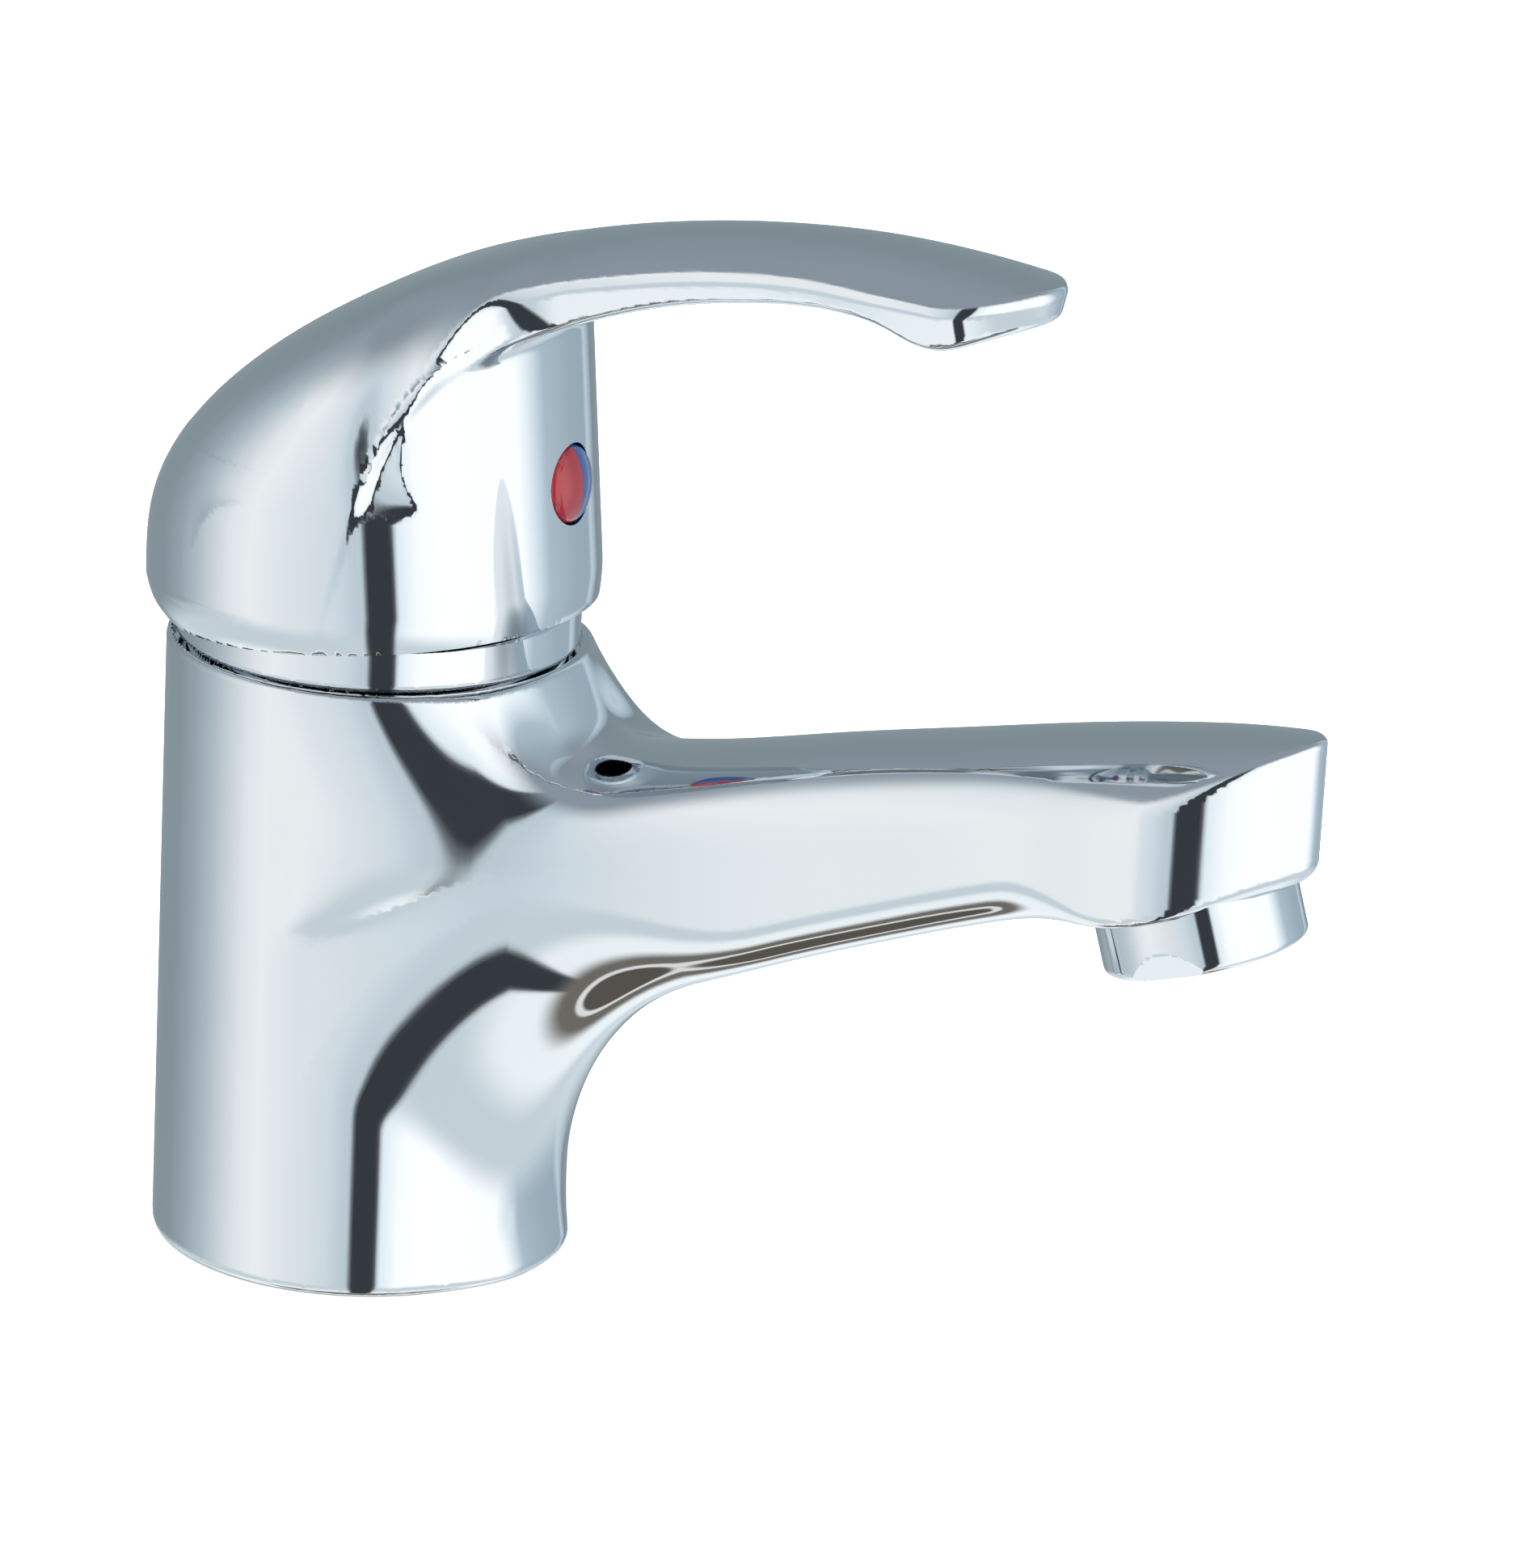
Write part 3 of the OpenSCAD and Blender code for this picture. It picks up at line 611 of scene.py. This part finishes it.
def black_rubber():
    """Moulded black EPDM: dull, faintly pitted, greyed in patches by talc and lime."""
    material, tree, place = new_material("moulded_black_epdm")
    patches = noise(tree, place, 4, 4).outputs["Fac"]
    pits = bump(tree, noise(tree, place, 0.25, 2).outputs["Fac"], 0.02)
    shader = add(tree, "ShaderNodeBsdfPrincipled",
                 {"Base Color": tint(tree, patches, "#17181A", "#25272A"), "Normal": pits,
                  "Roughness": span(tree, patches, 0.5, 0.72), "IOR": 1.52})
    return finish_material(material, tree, shader)


def acetal(name, low, high):
    """Injection-moulded acetal: waxy and slightly see-through, with the mould's fine spark finish."""
    material, tree, place = new_material(name)
    flow = noise(tree, place, 12, 2, 0.4).outputs["Fac"]
    grain = add(tree, "ShaderNodeTexVoronoi", {"Vector": place, "Scale": 1 / (0.18 * MM)})
    spark = bump(tree, grain.outputs["Distance"], 0.008)
    shader = add(tree, "ShaderNodeBsdfPrincipled",
                 {"Base Color": tint(tree, flow, low, high), "Roughness": 0.38, "Normal": spark,
                  "Subsurface Weight": 0.2, "Subsurface Radius": (0.0012, 0.001, 0.0009),
                  "IOR": 1.48})
    return finish_material(material, tree, shader)


def lapped_alumina():
    """Sintered alumina, lapped to a watertight face: warm white with pale grey grains."""
    material, tree, place = new_material("lapped_alumina")
    grains = add(tree, "ShaderNodeTexVoronoi", {"Vector": place, "Scale": 1 / (0.35 * MM)})
    shade = span(tree, grains.outputs["Distance"], 0, 1, 0.1, 0.8)
    shader = add(tree, "ShaderNodeBsdfPrincipled",
                 {"Base Color": tint(tree, shade, "#EEEBE3", "#E2DFD8"), "IOR": 1.76,
                  "Roughness": span(tree, shade, 0.1, 0.2)})
    return finish_material(material, tree, shader)


def drawn_steel():
    """Drawn stainless steel: fine scratches along the drawing direction, cool grey."""
    material, tree, place = new_material("drawn_stainless_steel")
    along = add(tree, "ShaderNodeMapping", {"Vector": place, "Scale": (1, 1, 0.06)}).outputs[0]
    lines = noise(tree, along, 0.12, 3, 0.6).outputs["Fac"]
    shader = add(tree, "ShaderNodeBsdfPrincipled",
                 {"Base Color": tint(tree, lines, "#A9ABAD", "#BCBEBF"), "Metallic": 1.0,
                  "Roughness": span(tree, lines, 0.18, 0.34), "Normal": bump(tree, lines, 0.004)})
    return finish_material(material, tree, shader)


def turned_brass():
    """Machined brass: rings left by the lathe tool, browned a little where it was handled."""
    material, tree, place = new_material("turned_brass")
    rings = add(tree, "ShaderNodeTexWave", {"Vector": place, "Scale": 1 / (2.5 * MM), "Distortion": 0.4},
                wave_type="RINGS", rings_direction="Z").outputs["Fac"]
    tarnish = noise(tree, place, 5, 4).outputs["Fac"]
    shader = add(tree, "ShaderNodeBsdfPrincipled",
                 {"Base Color": tint(tree, tarnish, "#D9B56C", "#B48E4C"), "Metallic": 1.0,
                  "Roughness": span(tree, tarnish, 0.2, 0.36), "Normal": bump(tree, rings, 0.003)})
    return finish_material(material, tree, shader)


def index_acrylic(name, low, high):
    """Dyed acrylic, moulded in a polished tool: a clear gloss over an even, deep colour."""
    material, tree, place = new_material(name)
    depth = noise(tree, place, 3, 2).outputs["Fac"]
    sink = bump(tree, noise(tree, place, 2.5, 1).outputs["Fac"], 0.01)
    shader = add(tree, "ShaderNodeBsdfPrincipled",
                 {"Base Color": tint(tree, depth, low, high), "Roughness": 0.12, "Normal": sink,
                  "IOR": 1.49, "Coat Weight": 0.5, "Coat Roughness": 0.04})
    return finish_material(material, tree, shader)


# ---- Outlet grid -----------------------------------------------------------------------------

def rib_bars(tree, inputs, turn):
    """Instances of one rib in a row, each as long as the round rim allows."""
    half = add(tree, "ShaderNodeMath", {0: inputs["Count"], 1: -0.5}, operation="MULTIPLY_ADD")
    half.inputs[2].default_value = 0.5
    first = add(tree, "ShaderNodeMath", {0: half.outputs[0], 1: inputs["Pitch"]},
                operation="MULTIPLY").outputs[0]
    start = add(tree, "ShaderNodeCombineXYZ", {"Y": first}).outputs[0]
    step = add(tree, "ShaderNodeCombineXYZ", {"Y": inputs["Pitch"]}).outputs[0]
    row = add(tree, "GeometryNodeMeshLine", {"Count": inputs["Count"], "Start Location": start,
                                             "Offset": step}).outputs[0]
    place = add(tree, "GeometryNodeInputPosition").outputs[0]
    y = add(tree, "ShaderNodeSeparateXYZ", {0: place}).outputs["Y"]
    y2 = add(tree, "ShaderNodeMath", {0: y, 1: y}, operation="MULTIPLY").outputs[0]
    r2 = add(tree, "ShaderNodeMath", {0: inputs["Reach"], 1: inputs["Reach"]},
             operation="MULTIPLY").outputs[0]
    left = add(tree, "ShaderNodeMath", {0: r2, 1: y2}, operation="SUBTRACT").outputs[0]
    chord = add(tree, "ShaderNodeMath", {0: left}, operation="SQRT").outputs[0]
    length = add(tree, "ShaderNodeMath", {0: chord, 1: 2.0}, operation="MULTIPLY").outputs[0]
    size = add(tree, "ShaderNodeCombineXYZ", {"X": length, "Y": 1.0, "Z": 1.0}).outputs[0]
    section = add(tree, "GeometryNodeCurvePrimitiveQuadrilateral",
                  {"Width": inputs["Thickness"], "Height": inputs["Depth"]}).outputs[0]
    path = add(tree, "GeometryNodeCurvePrimitiveLine", {"Start": (-0.5, 0, 0), "End": (0.5, 0, 0)})
    bar = add(tree, "GeometryNodeCurveToMesh", {"Curve": path.outputs[0], "Profile Curve": section,
                                                "Fill Caps": True}).outputs[0]
    ribs = add(tree, "GeometryNodeInstanceOnPoints", {"Points": row, "Instance": bar,
                                                      "Scale": size}).outputs[0]
    return add(tree, "GeometryNodeTransform", {"Geometry": ribs, "Rotation": (0, 0, turn)}).outputs[0]


def outlet_grid(material):
    """Ribs both ways and the rim round them, by Geometry Nodes, in the outlet's leaning frame."""
    tree = bpy.data.node_groups.new("outlet_grid", "GeometryNodeTree")
    sizes = {"Pitch": RIB_PITCH * MM, "Count": RIB_COUNT, "Reach": RIB_REACH * MM,
             "Thickness": 0.5 * MM, "Depth": 2.0 * MM}
    ids = {}
    for key, value in sizes.items():
        kind = "NodeSocketInt" if key == "Count" else "NodeSocketFloat"
        ids[key] = tree.interface.new_socket(key, in_out="INPUT", socket_type=kind).identifier
    tree.interface.new_socket("Geometry", in_out="OUTPUT", socket_type="NodeSocketGeometry")
    inputs = add(tree, "NodeGroupInput").outputs
    both = add(tree, "GeometryNodeJoinGeometry")
    for turn in (0, math.pi / 2):
        tree.links.new(rib_bars(tree, inputs, turn), both.inputs[0])
    ring = add(tree, "GeometryNodeCurvePrimitiveCircle", {"Resolution": 96, "Radius": 9.35 * MM})
    rim_section = add(tree, "GeometryNodeCurvePrimitiveQuadrilateral",
                      {"Width": 1.5 * MM, "Height": 2.4 * MM}).outputs[0]
    rim = add(tree, "GeometryNodeCurveToMesh", {"Curve": ring.outputs[0],
                                                "Profile Curve": rim_section}).outputs[0]
    tree.links.new(rim, both.inputs[0])
    whole = add(tree, "GeometryNodeRealizeInstances", {"Geometry": both.outputs[0]}).outputs[0]
    dressed = add(tree, "GeometryNodeSetMaterial", {"Geometry": whole, "Material": material})
    add(tree, "NodeGroupOutput", {"Geometry": dressed.outputs[0]})
    maker = bpy.data.objects.new("grid_maker", bpy.data.meshes.new("grid_maker"))
    bpy.context.scene.collection.objects.link(maker)
    modifier = maker.modifiers.new("grid", "NODES")
    modifier.node_group = tree
    for key, value in sizes.items():
        modifier[ids[key]] = value
    bpy.context.view_layer.update()
    graph = bpy.context.evaluated_depsgraph_get()
    mesh = bpy.data.meshes.new_from_object(maker.evaluated_get(graph), depsgraph=graph)
    bpy.data.objects.remove(maker)
    mesh.transform(OUTLET_FRAME @ Matrix.Translation((0, 0, 2.0 * MM)))
    piece = bpy.data.objects.new("outlet_grid", mesh)
    bpy.context.scene.collection.objects.link(piece)
    return piece


# ---- Studio ----------------------------------------------------------------------------------

# Brightness and colour of the studio walls round the object, by direction from -Y towards +X
WALLS = ((-180, "#79848A"), (-125, "#7C878D"), (-104, "#828D93"), (-86, "#949FA5"),
         (-70, "#ACB6BC"), (-57, "#C7CCCF"), (-45, "#DEDFE0"), (-32, "#E8E9E7"), (-18, "#E0E2E3"),
         (-4, "#D7DBDD"), (10, "#CCD4D9"), (20, "#B9C4CA"), (41, "#E0E8EB"), (50, "#F8F8F8"),
         (62, "#FFFFFF"), (108, "#FCFCFC"), (116, "#DDE5EA"), (127, "#A9B8C1"), (150, "#98A8B1"),
         (166, "#92A2AC"), (170, "#B4C3CB"), (177, "#93A2AC"), (180, "#79848A"))
# Dark gap between the softboxes: share of it by direction, and its colour
GAP = ((22.2, 0), (24.4, 1), (37.8, 1), (40, 0))
GAP_COLOUR = "#34383C"
# Zones of the room by height: angles over which each takes the place of the one before, colour
LOW_ZONES = ((-24, -37, "#C2CBD0"), (-44, -56, "#E9ECED"))
END_ZONES = ((28, 60, "#868F97"), (-62, -71, "#6B665F"), (-75, -76.5, "#DAD8D4"),
             (-77.5, -79, "#544F49"))
STUDIO_STRENGTH = 1.47


def ramp_of(tree, share, marks):
    """Colour ramp round the room, from marks of direction and hex colour."""
    ramp = add(tree, "ShaderNodeValToRGB", {"Fac": share})
    stops = ramp.color_ramp.elements
    while len(stops) < len(marks):
        stops.new(0.5)
    for stop, (degrees, code) in zip(stops, marks):
        stop.position = (degrees + 180) / 360
        stop.color = linear(code)
    return ramp.outputs["Color"]


def over(tree, colour, share, code):
    """colour, with a plain hex colour over it by this share."""
    mix = add(tree, "ShaderNodeMix", {0: share}, data_type="RGBA")
    tree.links.new(colour, mix.inputs[6])
    mix.inputs[7].default_value = linear(code)
    return mix.outputs[2]


def zone_over(tree, colour, rise, zone):
    """colour, giving way to the zone's own between the zone's two angles of height."""
    start, end, code = zone
    return over(tree, colour, span(tree, rise, 0, 1, math.radians(start), math.radians(end)), code)


def studio_world():
    """Softboxes in front, a dark gap between them, grey room behind, above and below."""
    world = bpy.data.worlds.new("studio")
    world.use_nodes = True
    bpy.context.scene.world = world
    tree = world.node_tree
    tree.nodes.clear()
    look = add(tree, "ShaderNodeTexCoord").outputs["Generated"]
    axes = add(tree, "ShaderNodeSeparateXYZ", {0: look}).outputs
    back = add(tree, "ShaderNodeMath", {0: axes["Y"], 1: -1.0}, operation="MULTIPLY").outputs[0]
    turn = add(tree, "ShaderNodeMath", {0: axes["X"], 1: back}, operation="ARCTAN2").outputs[0]
    share = add(tree, "ShaderNodeMapRange", {"Value": turn, "From Min": -math.pi,
                                             "From Max": math.pi}).outputs["Result"]
    colour = ramp_of(tree, share, WALLS)
    rise = add(tree, "ShaderNodeMath", {0: axes["Z"]}, operation="ARCSINE").outputs[0]
    for zone in LOW_ZONES:
        colour = zone_over(tree, colour, rise, zone)
    gap = ramp_of(tree, share, [(-180, "#000000")] + [(a, "#FFFFFF" if b else "#000000")
                                                      for a, b in GAP] + [(180, "#000000")])
    colour = over(tree, colour, gap, GAP_COLOUR)
    for zone in END_ZONES:
        colour = zone_over(tree, colour, rise, zone)
    light = add(tree, "ShaderNodeBackground", {"Color": colour, "Strength": STUDIO_STRENGTH})
    add(tree, "ShaderNodeOutputWorld", {"Surface": light.outputs[0]})


def floor():
    """Plain pale floor. It isn't seen in the chrome, which mirrors the studio instead."""
    material, tree, place = new_material("pale_matt_paint")
    colour = tint(tree, noise(tree, place, 40, 2).outputs["Fac"], "#F7F7F7", "#FAFAFA")
    shader = add(tree, "ShaderNodeBsdfPrincipled", {"Base Color": colour, "Roughness": 0.8})
    finish_material(material, tree, shader)
    bpy.ops.mesh.primitive_plane_add(size=12)
    plane = bpy.context.object
    plane.name = "floor"
    plane.data.materials.append(material)
    plane.visible_glossy = False


def soft_light(name, at, aim, size, power):
    """Large soft lamp, out of sight in the chrome."""
    lamp = bpy.data.lights.new(name, "AREA")
    lamp.size = size
    lamp.energy = power
    thing = bpy.data.objects.new(name, lamp)
    bpy.context.scene.collection.objects.link(thing)
    thing.location = at
    thing.rotation_euler = (Vector(aim) - Vector(at)).to_track_quat("-Z", "Y").to_euler()
    thing.visible_glossy = False


CAMERA_TARGET = Vector((0.035, 0.0, 0.070))
CAMERA_AZIMUTH = 25.03
CAMERA_RISE = 18.9
CAMERA_ROLL = 2.95
CAMERA_DISTANCE = 0.90008
CAMERA_SLIDE = (-0.01605, 0.00548)
CAMERA_LENS = 174.8


def camera():
    """Long lens, a little above the object, slightly rolled."""
    a, e, r = (math.radians(v) for v in (CAMERA_AZIMUTH, CAMERA_RISE, CAMERA_ROLL))
    back = Vector((math.sin(a) * math.cos(e), -math.cos(a) * math.cos(e), math.sin(e)))
    right = Vector((math.cos(a), math.sin(a), 0))
    up = back.cross(right)
    at = CAMERA_TARGET + back * CAMERA_DISTANCE - right * CAMERA_SLIDE[0] - up * CAMERA_SLIDE[1]
    rolled_right = right * math.cos(r) + up * math.sin(r)
    rolled_up = up * math.cos(r) - right * math.sin(r)
    turn = Matrix((rolled_right, rolled_up, back)).transposed().to_4x4()
    data = bpy.data.cameras.new("camera")
    data.lens = CAMERA_LENS
    data.sensor_width = 36
    data.clip_end = 20
    thing = bpy.data.objects.new("camera", data)
    thing.matrix_world = Matrix.Translation(at) @ turn
    bpy.context.scene.collection.objects.link(thing)
    bpy.context.scene.camera = thing


bpy.context.scene.view_settings.view_transform = "Standard"
camera()
studio_world()
floor()
soft_light("overhead", at=(0.2, -0.3, 1.4), aim=(0.05, 0, 0), size=2.2, power=70)

# ---- Finishes of the CAD nodes that stay in sight --------------------------------------------

chrome = polished_chrome()
rubber = black_rubber()
grey_acetal = acetal("moulded_grey_acetal", "#6E7276", "#7E8286")
white_acetal = acetal("moulded_white_acetal", "#DEDCD3", "#E9E7DF")
alumina = lapped_alumina()
steel = drawn_steel()
brass = turned_brass()
red = index_acrylic("dyed_red_acrylic", "#7E1620", "#8C1E28")
blue = index_acrylic("dyed_blue_acrylic", "#163A72", "#1D4684")
FINISHES = (
    (rubber, ("base_seal", "port_seals", "base_o_ring", "stem_o_ring", "ring_gasket",
              "aerator_washer")),
    (grey_acetal, ("cartridge_base", "disc_carrier", "stem_holder", "aerator_basket")),
    (white_acetal, ("cartridge_housing", "aerator_flow_plate")),
    (alumina, ("fixed_disc", "moving_disc")),
    (steel, ("stem_pin", "lever_stem", "set_screw", "aerator_screens")),
    (brass, ("retaining_nut",)),
)
for finish, names in FINISHES:
    for name in names:
        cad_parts[name].data.materials.clear()
        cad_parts[name].data.materials.append(finish)


# ---- Pieces ----------------------------------------------------------------------------------

# Grid steps of the meshes, in millimetres, and the angle in degrees up to which the handle's
# normals are averaged at a point
BODY_STEP = 0.72
HANDLE_STEP = 0.6
HANDLE_CREASE = 40
RING_STEP = 0.55
AERATOR_STEP = 0.3
PLUG_STEP = 0.25

OUTLET_FRAME = (Matrix.Translation(Vector(OUTLET) * MM)
                @ Matrix.Rotation(math.radians(-OUTLET_LEAN), 4, "Y"))
PLUG_LOW = (20, -6, 91)
PLUG_HIGH = (31, 6, 107)
body = contour("body", body_shape, (-26, -26, -0.5), (123.5, 26, 87), BODY_STEP)
handle = contour("handle", handle_shape, (-29.5, -29, 76.5), (87.5, 29, 136), HANDLE_STEP,
                 crease=HANDLE_CREASE)
ring = contour("ring", ring_shape, (-25, -25, 75.5), (25, 25, 86.5), RING_STEP)
aerator = contour("aerator", aerator_shape, (-12.6, -12.6, -0.6), (12.6, 12.6, 13.6),
                  AERATOR_STEP, OUTLET_FRAME)
plug_red = contour("plug_red", plug_shape(-1), PLUG_LOW, PLUG_HIGH, PLUG_STEP)
plug_blue = contour("plug_blue", plug_shape(1), PLUG_LOW, PLUG_HIGH, PLUG_STEP)
grid = outlet_grid(grey_acetal)
PIECES = (
    (body, "root", "body_casting", "chrome", chrome),
    (ring, "root", "cap_ring", "chrome", chrome),
    (aerator, "root", "aerator_housing", "chrome", chrome),
    (grid, "root", "aerator_outlet_grid", "grey_plastic", None),
    (handle, "lever", "lever_handle", "chrome", chrome),
    (plug_red, "lever", "index_plug_red", "red_plastic", red),
    (plug_blue, "lever", "index_plug_blue", "blue_plastic", blue),
)
for piece, moving_body, node_name, slot_name, finish in PIECES:
    if finish is not None:
        piece.data.materials.append(finish)
    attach(piece, moving_body)
    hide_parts(node_name)
